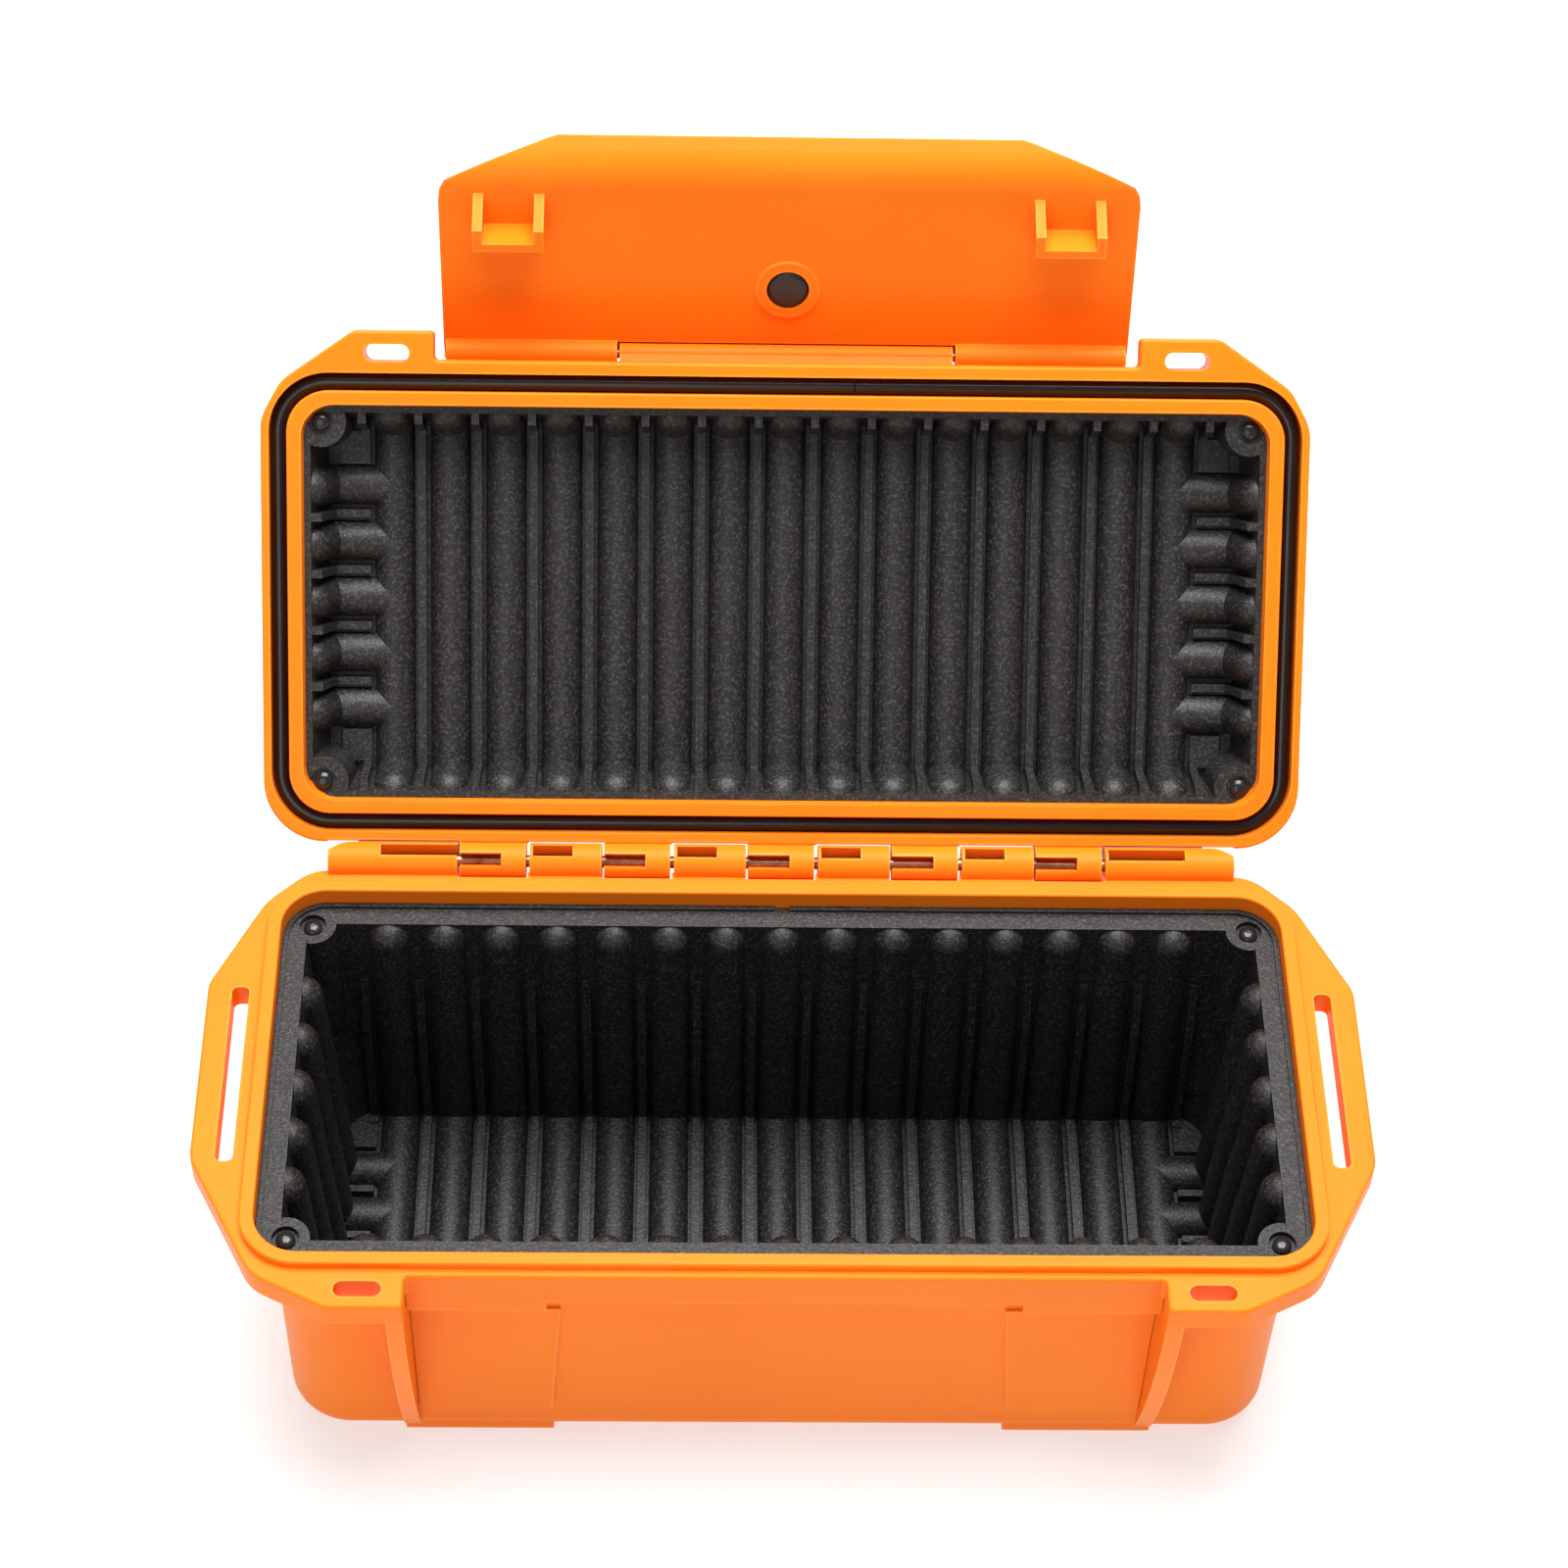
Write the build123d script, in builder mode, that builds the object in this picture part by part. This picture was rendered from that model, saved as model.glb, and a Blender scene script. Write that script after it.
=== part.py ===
from build123d import *
import os

# Hinged dry box of a first aid kit: ribbed rubber liners, cord seal, knuckle hinge and a wide front latch.
# The base stands still. The lid and the latch are drawn shut and then swung to the open pose, the rest pose.
# Millimetres. X runs along the hinge, -Y is the latch side, +Z is up, and the feet stand on Z = 0.

os.makedirs("parts", exist_ok=True)

# Heights
RIM_Z = 66.8  # top of the base's sealing ridge
PART_Z = RIM_Z - 1.6  # parting plane, which holds the lid hinge's axis
FLANGE_GAP = 0.34  # between the two flanges when shut
BASE_FLANGE_Z = PART_Z - FLANGE_GAP / 2
LID_FLANGE_Z = PART_Z + FLANGE_GAP / 2
FLANGE_THICK = 5.4
FOOT_DROP = 1.2
FLOOR_THICK = 2.2
LID_TOP_Z = RIM_Z + 17.5
LID_STEP_Z = PART_Z + 6.8  # where the lid's flange ends and its dome begins
LID_CEILING_Z = RIM_Z + 13.6

# Poses
LID_OPEN_ANGLE = 130.25
LATCH_OPEN_ANGLE = 59.6

# Base shell, half sizes
BODY_X, BODY_Y, BODY_R = 95.4, 40.6, 12.6
BODY_DRAFT = 0.4
BODY_BOTTOM_R = 5.0
END_WALL, SIDE_WALL = 1.7, 2.2
CAVITY_X, CAVITY_Y, CAVITY_R = BODY_X - END_WALL, BODY_Y - SIDE_WALL, 10.8
OPENING_X, OPENING_Y, OPENING_R = 97.25, 41.75, 8.45  # mouth, inside the sealing ridge
RIDGE_WIDTH = 2.75
SEAT_Z = RIM_Z - 5.95  # shelf that the base liner's flange rests on
BACK_EDGE_Y, FRONT_EDGE_Y = 48.5, -46.1
END_X = 110.3
EAR_X, EAR_FRONT_Y = 69.2, -52.7
SKIRT_Z = RIM_Z - 10.3
CATCH_Z = RIM_Z - 13.1
SKIRT_WALL = 2.6
PANEL_TOP_X0, PANEL_TOP_Z = 41.4, 46.4  # the hooks swing in above the raised panels
PANEL_BOTTOM_Z = 11.2
FOOT_X0, FOOT_X1 = 43.7, 72.3
FOOT_FRONT_Y = -40.0
PAD_R = 9.0  # round pad in the middle of the underside

# Slots
EAR_SLOT = (8.7, 3.3)
EAR_SLOT_AT = (77.5, -48.8)
STRAP_SLOT = (3.3, 40.3)
STRAP_SLOT_AT = (103.9, -0.95)

# Lid hinge
HINGE_Y = 50.7
KNUCKLE_R = 3.6
KNUCKLE_CLEAR_R = 4.0
KNUCKLE_PITCH = 14.18
HINGE_HALF = 89.2
PIN_R, LATCH_PIN_R = 1.2, 1.0
PIN_HALF = 85.4
PRESS_GAP, RUNNING_GAP = 0.02, 0.06
LID_KNUCKLES = 5
WINDOW_WIDTH = 2.7
END_WINDOW, BASE_WINDOW, LID_WINDOW = 15.1, 7.8, 8.3  # lengths
KNUCKLE_CHAMFER = (5.3, 4.2)  # cut off the hinge's outer back corners, along X and Y

# Lid shell, half sizes
LID_X, LID_FRONT_Y, LID_BACK_Y = 102.0, -47.4, 47.2
LID_EAR_X, LID_EAR_FRONT_Y = 68.4, -53.0
DOME_X, DOME_Y, DOME_R = 97.2, 41.8, 11.0
DOME_DRAFT = 5.0
GROOVE_X, GROOVE_Y, GROOVE_R = 100.4, 44.9, 11.6
RING_X, RING_Y, RING_R = 96.9, 41.4, 8.1
RING_PROUD = 0.6
LID_MOUTH_X, LID_MOUTH_Y, LID_MOUTH_R = 94.1, 38.8, 6.4
LID_MOUTH_DRAFT = 8.0
SEAL_D = 3.2
SEAL_Z = RIM_Z + 0.1 + SEAL_D / 2

# Liners
BAND_PITCH = 11.0
SIDE_PITCH = 11.1
BAND_R = 4.0
BAND_SINK = 0.3
STRIP_WIDTH = 1.5
STRIP_RISE = 2.1
STRIP_DIVE = (2.8, 13.0)  # above their straight part the strips sink into the wall: across and up
LINER_WALL = 1.5
BASE_DRIFT = 4.2  # the base liner's end bands lean towards the latch side by this much from mouth to floor
BASE_LINER_FLOOR_Z = RIM_Z - 61.84
LID_LINER_FLOOR_Z = RIM_Z + 12.0
LID_LINER_EDGE_Z = RIM_Z + 0.2
RIVET_HEAD_R, RIVET_SHANK_R = 1.8, 1.0
RIVET_SHANK = 3.2
BASE_RIVET_SINK, LID_RIVET_SINK = 1.2, 0.8  # counterbore depths
COUNTERBORE_R = 2.6
BASE_LINER_HEIGHT = RIM_Z - 4.35 - BASE_LINER_FLOOR_Z
BASE_LINER_MOUTH, BASE_LINER_FLOOR = (92.6, 36.8), (88.6, 33.3)  # half sizes of the inner faces
BASE_FLOOR_SHIFT = -1.0  # the floor's middle along Y
LID_LINER_MOUTH, LID_LINER_FLOOR = (92.5, 37.2), (90.0, 34.8)
LINER_CORNER_R, BASE_FLOOR_CORNER_R = 5.0, 9.4
END_STRIP_X = 81.6  # where an end's flat strips begin on the floor
BASE_PAD = (84.6, 27.6, 5.8, 9.2)
LID_PADS = [(84.6, 29.6, 5.8, 6.4), (84.6, -29.6, 5.8, 6.4)]
FLANGE_RUBBER = 1.5
LID_LINER_HEIGHT = LID_LINER_FLOOR_Z - LID_LINER_EDGE_Z
BASE_POSTS = [(91.6, 36.4), (-91.6, 36.4), (91.5, -36.3), (-91.5, -36.3)]
LID_POSTS = [(90.4, 35.3), (-90.4, 35.3), (90.4, -35.3), (-90.4, -35.3)]

# Latch
LATCH_Y, LATCH_Z = -48.4, RIM_Z + 14.0
LATCH_BARREL_R, LUG_R = 2.8, 2.1
FLAP_HALF = 67.4
FLAP_THICK = 2.4
FLAP_FACE = 0.3  # the flap's inner face lies this far outside its hinge axis
LUG_HALF = 32.8
FLAP_BEND = 37.6
LIP_BEND_R = 9.6
LIP_STRAIGHT = 2.6
LIP_END = 9.39  # from the start of the bend to the lip's end, along the lip
HINGE_RIB = 0.8  # proud of the flap's outer face
LIP_END_HALF = 45.0
HOOK_X = 53.8
HOOK_WIDTH = 13.6
HOOK_CHEEK = 1.9
HOOK_SEAT = 27.5  # from the hinge axis to the face that bears under the catch
HOOK_DEPTH = 7.3
LEDGE_THICK = 1.7
PLUG_AT = 15.25
PLUG_R, BOSS_R, BOSS_RISE = 4.1, 6.2, 0.7

HINGE_AXIS = Axis((0, HINGE_Y, PART_Z), (1, 0, 0))
LATCH_AXIS = Axis((0, LATCH_Y, LATCH_Z), (1, 0, 0))


def write(builder, name):
    """Labels a finished piece and writes its file."""
    builder.part.label = name
    export_step(builder.part, f"parts/{name}.step")


def swing_lid(part):
    """A lid piece drawn shut, swung to the open pose."""
    return part.rotate(HINGE_AXIS, -LID_OPEN_ANGLE)


def swing_latch(part):
    """A latch piece drawn shut, swung open on the lid and then with it."""
    return swing_lid(part.rotate(LATCH_AXIS, -LATCH_OPEN_ANGLE))


def knuckle_spans():
    """The base's and the lid's knuckles as (low x, high x), with play between them."""
    inner = KNUCKLE_PITCH * (LID_KNUCKLES - 0.5)
    edges = [-inner + KNUCKLE_PITCH * i for i in range(2 * LID_KNUCKLES)]
    base = [(-HINGE_HALF, edges[0])] + list(zip(edges[1:-1:2], edges[2:-1:2]))
    base += [(edges[-1], HINGE_HALF)]
    lid = [(low + 0.35, high - 0.8) for low, high in zip(edges[0::2], edges[1::2])]
    return base, lid


BASE_SPANS, LID_SPANS = knuckle_spans()
EDGE_PLAY = 0.4


def hinge_rods(radius, spans, grow=0.0):
    """One closed rod on the lid hinge's axis for each span."""
    with BuildPart() as rods:
        for low, high in spans:
            with BuildSketch(Plane.YZ.offset(low - grow)):
                with Locations((HINGE_Y, PART_Z)):
                    Circle(radius)
            extrude(amount=high - low + 2 * grow)
    return rods.part


# ---------------------------------------------------------------- base shell
with BuildPart() as base_shell:
    # drafted tub with a rounded bottom edge
    with BuildSketch(Plane.XY.offset(BASE_FLANGE_Z - 1)):
        RectangleRounded(2 * BODY_X, 2 * BODY_Y, BODY_R)
    extrude(amount=-(BASE_FLANGE_Z - 1 - FOOT_DROP), taper=BODY_DRAFT)
    fillet(base_shell.edges().group_by(Axis.Z)[0], BODY_BOTTOM_R)

    # feet under the two latch catches, front and back, and the middle pad
    foot_width = FOOT_X1 - FOOT_X0
    for side in (-1, 1):
        with BuildSketch(Plane.YZ.offset(side * FOOT_X0)):
            with BuildLine():
                FilletPolyline(
                    (-26, 10), (-26, 0), (FOOT_FRONT_Y, 0), (FOOT_FRONT_Y, 10), radius=2.8
                )
                Line((FOOT_FRONT_Y, 10), (-26, 10))
            make_face()
            mirror(about=Plane.YZ)
        extrude(amount=side * foot_width)

    with BuildSketch(Plane.XY):
        Circle(PAD_R)
    extrude(amount=FOOT_DROP + 0.5)

    # flange with handles at the ends and ears at the front corners
    with BuildSketch(Plane.XY.offset(BASE_FLANGE_Z - FLANGE_THICK)):
        with BuildLine():
            FilletPolyline(
                (0, BACK_EDGE_Y),
                (92.5, BACK_EDGE_Y),
                (100.8, 40.5),
                (END_X, 20.3),
                (END_X, -20.4),
                (97.4, -45.6),
                (83.4, EAR_FRONT_Y),
                (EAR_X, EAR_FRONT_Y),
                (EAR_X, FRONT_EDGE_Y),
                (0, FRONT_EDGE_Y),
                radius=[9, 12, 7, 8, 9, 4, 1, 0.8],
            )
            Line((0, FRONT_EDGE_Y), (0, BACK_EDGE_Y))
        make_face()
        mirror(about=Plane.YZ)
    extrude(amount=FLANGE_THICK)
    top_edges = base_shell.edges().filter_by_position(Axis.Z, BASE_FLANGE_Z - 0.01, BASE_FLANGE_Z + 0.01)
    fillet(top_edges, 0.7)

    # front skirt, deeper at the two catches
    with BuildSketch(Plane.XY.offset(SKIRT_Z)):
        with Locations((0, FRONT_EDGE_Y + SKIRT_WALL / 2)):
            Rectangle(2 * EAR_X, SKIRT_WALL)
    extrude(amount=BASE_FLANGE_Z - SKIRT_Z - 1.5)
    catch_width = EAR_X - FOOT_X0
    with BuildSketch(Plane.XY.offset(CATCH_Z)):
        for side in (-1, 1):
            with Locations((side * (FOOT_X0 + catch_width / 2), FRONT_EDGE_Y + SKIRT_WALL / 2)):
                Rectangle(catch_width, SKIRT_WALL)
    extrude(amount=BASE_FLANGE_Z - CATCH_Z - 1.5)

    # raised panels below the catches, their inner edges leaning out towards the feet
    with BuildSketch(Plane.XZ.offset(BODY_Y + 0.5)):
        Polygon(
            (PANEL_TOP_X0, PANEL_TOP_Z),
            (FOOT_X0, PANEL_BOTTOM_Z),
            (EAR_X, PANEL_BOTTOM_Z),
            (EAR_X, PANEL_TOP_Z),
            align=None,
        )
        mirror(about=Plane.YZ)
    extrude(amount=-3.0)

    # gussets that carry the ears and guard the latch's edges
    gusset_width = 3.2
    for side in (-1, 1):
        with BuildSketch(Plane.YZ.offset(side * (EAR_X + 0.15))):
            with BuildLine():
                ear_under = BASE_FLANGE_Z - FLANGE_THICK + 1
                ThreePointArc((EAR_FRONT_Y + 0.3, ear_under), (-48.4, 31), (FOOT_FRONT_Y - 0.2, 4.0))
                Polyline((FOOT_FRONT_Y - 0.2, 4.0), (-38, 4.0), (-38, ear_under))
                Line((-38, ear_under), (EAR_FRONT_Y + 0.3, ear_under))
            make_face()
        extrude(amount=side * gusset_width)

    # hinge plate gussets at the back
    for x in (-56.7, -14.2, 14.2, 56.7):
        with BuildSketch(Plane.YZ.offset(x - 1.2)):
            Polygon(
                (38, 36),
                (BODY_Y + 0.4, 36),
                (BACK_EDGE_Y - 1.5, 55),
                (BACK_EDGE_Y - 1.5, 61),
                (38, 61),
                align=None,
            )
        extrude(amount=2.4)

    # sealing ridge
    with BuildSketch(Plane.XY.offset(BASE_FLANGE_Z - 2)):
        RectangleRounded(
            2 * (OPENING_X + RIDGE_WIDTH), 2 * (OPENING_Y + RIDGE_WIDTH), OPENING_R + RIDGE_WIDTH
        )
        RectangleRounded(2 * OPENING_X, 2 * OPENING_Y, OPENING_R, mode=Mode.SUBTRACT)
    extrude(amount=RIM_Z - BASE_FLANGE_Z + 2)

    # mouth, liner seat and cavity
    with BuildSketch(Plane.XY.offset(RIM_Z)):
        RectangleRounded(2 * OPENING_X, 2 * OPENING_Y, OPENING_R)
    extrude(amount=-(RIM_Z - SEAT_Z), mode=Mode.SUBTRACT)
    with BuildSketch(Plane.XY.offset(SEAT_Z)):
        RectangleRounded(2 * CAVITY_X, 2 * CAVITY_Y, CAVITY_R)
    extrude(amount=-(SEAT_Z - FOOT_DROP - FLOOR_THICK), taper=BODY_DRAFT, mode=Mode.SUBTRACT)
    with Locations(*[(x, y, SEAT_Z) for x, y in BASE_POSTS]):
        Hole(RIVET_SHANK_R + PRESS_GAP, depth=RIVET_SHANK)
    rim_edges = base_shell.edges().filter_by_position(Axis.Z, RIM_Z - 0.01, RIM_Z + 0.01)
    fillet(rim_edges, 0.5)

    # hinge knuckles with their webs
    for low, high in BASE_SPANS:
        with BuildSketch(Plane.YZ.offset(low)):
            with Locations((HINGE_Y, PART_Z)):
                Circle(KNUCKLE_R)
            Polygon(
                (BACK_EDGE_Y - 3, BASE_FLANGE_Z - 0.4),
                (HINGE_Y, BASE_FLANGE_Z - 0.4),
                (HINGE_Y + KNUCKLE_R, PART_Z - 0.8),
                (HINGE_Y + 1.2, BASE_FLANGE_Z - FLANGE_THICK),
                (BACK_EDGE_Y - 3, BASE_FLANGE_Z - FLANGE_THICK),
                align=None,
            )
        extrude(amount=high - low)
    # stops that the open lid's back wall leans on
    stop_spans = (BASE_SPANS[0], BASE_SPANS[-1])
    for low, high in stop_spans:
        with BuildSketch(Plane.YZ.offset(low)):
            Polygon(
                (BACK_EDGE_Y - 3, PART_Z - 1),
                (HINGE_Y + 2.9, PART_Z + 1.3),
                (HINGE_Y + 6.3, PART_Z - 1.6),
                (HINGE_Y + 6.1, PART_Z - 4.6),
                (BODY_Y - 1, PART_Z - 15),
                (BODY_Y - 1, SEAT_Z - 1.3),
                (BACK_EDGE_Y - 3, SEAT_Z - 1.3),
                align=None,
            )
        extrude(amount=high - low)
    # the outer back corners of the end knuckles are cut off at a slant
    chamfer_x, chamfer_y = KNUCKLE_CHAMFER
    with BuildSketch(Plane.XY.offset(PART_Z - 20)):
        Polygon(
            (HINGE_HALF + 0.1, HINGE_Y - 0.4),
            (HINGE_HALF - chamfer_x, HINGE_Y - 0.4 + chamfer_y),
            (HINGE_HALF - chamfer_x, HINGE_Y + 12),
            (HINGE_HALF + 6, HINGE_Y + 12),
            (HINGE_HALF + 6, HINGE_Y - 0.4),
            align=None,
        )
        mirror(about=Plane.YZ)
    extrude(amount=40, mode=Mode.SUBTRACT)
    # room for the lid's knuckles, the pin's bore, and windows over the pin
    add(hinge_rods(KNUCKLE_CLEAR_R, LID_SPANS, EDGE_PLAY), mode=Mode.SUBTRACT)
    add(hinge_rods(PIN_R + PRESS_GAP, [(-PIN_HALF - 0.2, PIN_HALF + 0.2)]), mode=Mode.SUBTRACT)
    for low, high in BASE_SPANS:
        length = END_WINDOW if (low, high) in stop_spans else BASE_WINDOW
        window_mid = high - length / 2 if low == -HINGE_HALF else low + 0.6 + length / 2
        with BuildSketch(Plane.XY.offset(PART_Z + KNUCKLE_R)):
            with Locations((window_mid, HINGE_Y)):
                Rectangle(length, WINDOW_WIDTH)
        extrude(amount=-KNUCKLE_R, mode=Mode.SUBTRACT)

    # strap slots and ear slots
    with BuildSketch(Plane.XY.offset(BASE_FLANGE_Z)):
        for side in (-1, 1):
            with Locations((side * STRAP_SLOT_AT[0], STRAP_SLOT_AT[1])):
                RectangleRounded(*STRAP_SLOT, 1.2)
            with Locations((side * EAR_SLOT_AT[0], EAR_SLOT_AT[1])):
                SlotOverall(*EAR_SLOT)
    extrude(amount=-FLANGE_THICK - 1, mode=Mode.SUBTRACT)
write(base_shell, "base_shell")

# ---------------------------------------------------------------- lid shell
with BuildPart() as lid_shell:
    # flange with ears at the front corners
    with BuildSketch(Plane.XY.offset(LID_FLANGE_Z)):
        with BuildLine():
            FilletPolyline(
                (0, LID_BACK_Y),
                (LID_X, LID_BACK_Y),
                (LID_X, -36.0),
                (98.0, -43.3),
                (84.0, LID_EAR_FRONT_Y),
                (LID_EAR_X, LID_EAR_FRONT_Y),
                (LID_EAR_X, LID_FRONT_Y),
                (0, LID_FRONT_Y),
                radius=[12, 9, 8, 3, 1, 0.8],
            )
            Line((0, LID_FRONT_Y), (0, LID_BACK_Y))
        make_face()
        mirror(about=Plane.YZ)
    extrude(amount=LID_STEP_Z - LID_FLANGE_Z)
    fillet(lid_shell.edges().group_by(Axis.Z)[-1], 1.2)
    fillet(lid_shell.edges().group_by(Axis.Z)[0], 0.6)

    # drafted dome with a shallow sunk panel on top
    with BuildSketch(Plane.XY.offset(LID_FLANGE_Z + 1)):
        RectangleRounded(2 * DOME_X, 2 * DOME_Y, DOME_R)
    extrude(amount=LID_TOP_Z - LID_FLANGE_Z - 1, taper=DOME_DRAFT)
    fillet(lid_shell.edges().group_by(Axis.Z)[-1], 4.0)
    with BuildSketch(Plane.XY.offset(LID_TOP_Z)):
        RectangleRounded(150, 54, 6)
    extrude(amount=-0.9, taper=30, mode=Mode.SUBTRACT)

    # ring that enters the base's mouth
    with BuildSketch(Plane.XY.offset(LID_FLANGE_Z - RING_PROUD)):
        RectangleRounded(2 * RING_X, 2 * RING_Y, RING_R)
    extrude(amount=RING_PROUD + 1)
    fillet(lid_shell.edges().group_by(Axis.Z)[0], 0.35)

    # seal groove
    with BuildSketch(Plane.XY.offset(LID_FLANGE_Z - 0.01)):
        RectangleRounded(2 * GROOVE_X, 2 * GROOVE_Y, GROOVE_R)
        RectangleRounded(2 * RING_X, 2 * RING_Y, RING_R, mode=Mode.SUBTRACT)
    extrude(amount=SEAL_Z + SEAL_D / 2 + 0.02 - LID_FLANGE_Z, mode=Mode.SUBTRACT)

    # hollow for the liner
    with BuildSketch(Plane.XY.offset(LID_FLANGE_Z - RING_PROUD - 0.01)):
        RectangleRounded(2 * LID_MOUTH_X, 2 * LID_MOUTH_Y, LID_MOUTH_R)
    extrude(amount=LID_CEILING_Z - LID_FLANGE_Z + RING_PROUD, taper=LID_MOUTH_DRAFT, mode=Mode.SUBTRACT)

    # hinge knuckles: barrel and the web up into the flange
    for low, high in LID_SPANS:
        with BuildSketch(Plane.YZ.offset(low)):
            with Locations((HINGE_Y, PART_Z)):
                Circle(KNUCKLE_R)
            Polygon(
                (LID_BACK_Y - 1.5, LID_FLANGE_Z + 0.5),
                (HINGE_Y - 1, LID_FLANGE_Z - 0.2),
                (HINGE_Y + KNUCKLE_R, PART_Z + 0.4),
                (HINGE_Y + 1.2, PART_Z + 4.6),
                (LID_BACK_Y - 1.5, LID_STEP_Z - 1.2),
                align=None,
            )
        extrude(amount=high - low)
    add(hinge_rods(KNUCKLE_CLEAR_R, BASE_SPANS, EDGE_PLAY), mode=Mode.SUBTRACT)
    add(hinge_rods(PIN_R + RUNNING_GAP, LID_SPANS, 0.1), mode=Mode.SUBTRACT)
    for low, high in LID_SPANS:
        with BuildSketch(Plane.XY.offset(PART_Z - KNUCKLE_R)):
            with Locations((low + LID_WINDOW / 2 - 0.1, HINGE_Y - 0.8)):
                Rectangle(LID_WINDOW, WINDOW_WIDTH)
        extrude(amount=KNUCKLE_R, mode=Mode.SUBTRACT)

    # latch lug: a long barrel on a block in front of the dome
    with BuildSketch(Plane.YZ.offset(-LUG_HALF)):
        with Locations((LATCH_Y, LATCH_Z)):
            Circle(LUG_R)
        Polygon(
            (LATCH_Y, LATCH_Z - LUG_R),
            (LATCH_Y, LATCH_Z + LUG_R),
            (-38.5, LATCH_Z + LUG_R),
            (-38.5, LATCH_Z - LUG_R - 4.5),
            align=None,
        )
    extrude(amount=2 * LUG_HALF)
    for side in (-1, 1):
        with BuildSketch(Plane.YZ.offset(side * (LUG_HALF + 1))):
            with Locations((LATCH_Y, LATCH_Z)):
                Circle(LATCH_PIN_R + PRESS_GAP)
        extrude(amount=-side * 12, mode=Mode.SUBTRACT)

    # ear slots
    with BuildSketch(Plane.XY.offset(LID_FLANGE_Z - 0.1)):
        for side in (-1, 1):
            with Locations((side * EAR_SLOT_AT[0], EAR_SLOT_AT[1])):
                SlotOverall(*EAR_SLOT)
    extrude(amount=LID_STEP_Z - LID_FLANGE_Z + 0.2, mode=Mode.SUBTRACT)
lid_shell.part = swing_lid(lid_shell.part)
write(lid_shell, "lid_shell")

# ---------------------------------------------------------------- seal
with BuildPart() as lid_seal:
    seal_x, seal_y = (GROOVE_X + RING_X) / 2, (GROOVE_Y + RING_Y) / 2
    seal_r = (GROOVE_R + RING_R) / 2
    with BuildLine(Plane.XY.offset(SEAL_Z)) as seal_path:
        FilletPolyline(
            (13.2, -seal_y), (seal_x, -seal_y), (seal_x, seal_y), (-seal_x, seal_y), (-seal_x, -seal_y),
            (12.9, -seal_y), radius=seal_r,
        )
    with BuildSketch(Plane(origin=seal_path.line @ 0, z_dir=seal_path.line % 0)):
        Circle(SEAL_D / 2)
    sweep()
lid_seal.part = swing_lid(lid_seal.part)
write(lid_seal, "lid_seal")


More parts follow.
